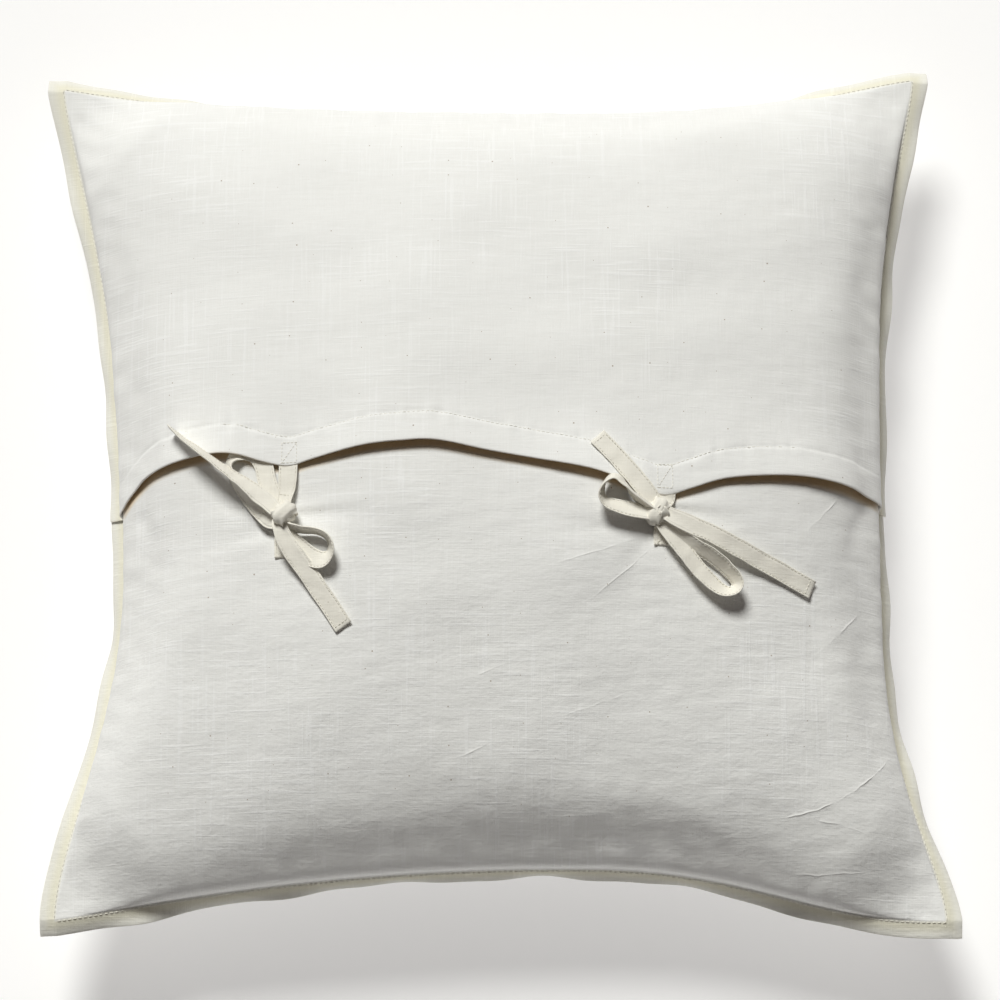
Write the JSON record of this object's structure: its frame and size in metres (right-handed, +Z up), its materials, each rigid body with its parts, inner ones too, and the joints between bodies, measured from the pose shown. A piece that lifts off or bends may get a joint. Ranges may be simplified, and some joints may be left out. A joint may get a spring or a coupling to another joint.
{
  "type": "floor cushion",
  "caption": "Square flanged floor cushion whose envelope back is closed by tied bows, lying on its face on a flat resting area.",
  "frame": {"origin": "on the floor under the middle of the cushion, which lies on its face with the tied side up", "axes": "+Z up through the crown, +Y from the lower back panel towards the flap panel, +X to the right seen from above with +Y ahead"},
  "size_m": [0.645, 0.645, 0.1993],
  "materials": {
    "natural_cotton": "matt slub-weave natural cotton with seed flecks",
    "tie_cotton": "matt folded and edge-stitched cotton tape",
    "lining_cotton": "plain fine white lining",
    "polyester_fibre": "lofty white fibre",
    "cotton_thread": "matt sewing thread"
  },
  "bodies": {
    "cushion": {"face_panel": "natural_cotton", "back_lower_panel": "natural_cotton", "back_flap_panel": "natural_cotton", "insert_upper_casing": "lining_cotton", "insert_lower_casing": "lining_cotton", "fibre_filling": "polyester_fibre", "flap_hem_stitch": "cotton_thread", "flange_topstitch": "cotton_thread", "left_bow_flap_tie": "tie_cotton", "left_bow_panel_tie": "tie_cotton", "left_bow_knot": "tie_cotton", "left_bow_flap_tie_stitch": "cotton_thread", "left_bow_panel_tie_stitch": "cotton_thread", "right_bow_flap_tie": "tie_cotton", "right_bow_panel_tie": "tie_cotton", "right_bow_knot": "tie_cotton", "right_bow_flap_tie_stitch": "cotton_thread", "right_bow_panel_tie_stitch": "cotton_thread"},
    "left_upper_loop": {"left_bow_upper_loop": "tie_cotton"},
    "left_upper_end": {"left_bow_upper_end": "tie_cotton"},
    "left_lower_loop": {"left_bow_lower_loop": "tie_cotton"},
    "left_lower_end": {"left_bow_lower_end": "tie_cotton"},
    "right_upper_loop": {"right_bow_upper_loop": "tie_cotton"},
    "right_upper_end": {"right_bow_upper_end": "tie_cotton"},
    "right_lower_loop": {"right_bow_lower_loop": "tie_cotton"},
    "right_lower_end": {"right_bow_lower_end": "tie_cotton"}
  },
  "joints": [
    {"name": "left_upper_loop_lift", "type": "hinge", "parent": "cushion", "child": "left_upper_loop", "pos_m": [-0.1455, -0.0412, 0.1852], "axis": [0.6157, 0.788, 0], "range_deg": [0, 50]},
    {"name": "left_upper_end_lift", "type": "hinge", "parent": "left_upper_loop", "child": "left_upper_end", "pos_m": [-0.1455, -0.0412, 0.1852], "axis": [0.6691, 0.7431, 0], "range_deg": [0, 30]},
    {"name": "left_lower_loop_lift", "type": "hinge", "parent": "cushion", "child": "left_lower_loop", "pos_m": [-0.1455, -0.0412, 0.1852], "axis": [-0.5, -0.866, 0], "range_deg": [0, 50]},
    {"name": "left_lower_end_lift", "type": "hinge", "parent": "left_lower_loop", "child": "left_lower_end", "pos_m": [-0.1455, -0.0412, 0.1852], "axis": [-0.891, -0.454, 0], "range_deg": [0, 30]},
    {"name": "right_upper_end_lift", "type": "hinge", "parent": "cushion", "child": "right_upper_end", "pos_m": [0.113, -0.0413, 0.1911], "axis": [0.788, 0.6157, 0], "range_deg": [0, 50]},
    {"name": "right_upper_loop_lift", "type": "hinge", "parent": "right_upper_end", "child": "right_upper_loop", "pos_m": [0.113, -0.0413, 0.1911], "axis": [0.2756, 0.9613, 0], "range_deg": [0, 30]},
    {"name": "right_lower_loop_lift", "type": "hinge", "parent": "cushion", "child": "right_lower_loop", "pos_m": [0.113, -0.0413, 0.1911], "axis": [-0.7314, -0.682, 0], "range_deg": [0, 50]},
    {"name": "right_lower_end_lift", "type": "hinge", "parent": "right_lower_loop", "child": "right_lower_end", "pos_m": [0.113, -0.0413, 0.1911], "axis": [-0.3907, -0.9205, 0], "range_deg": [0, 30]}
  ]
}
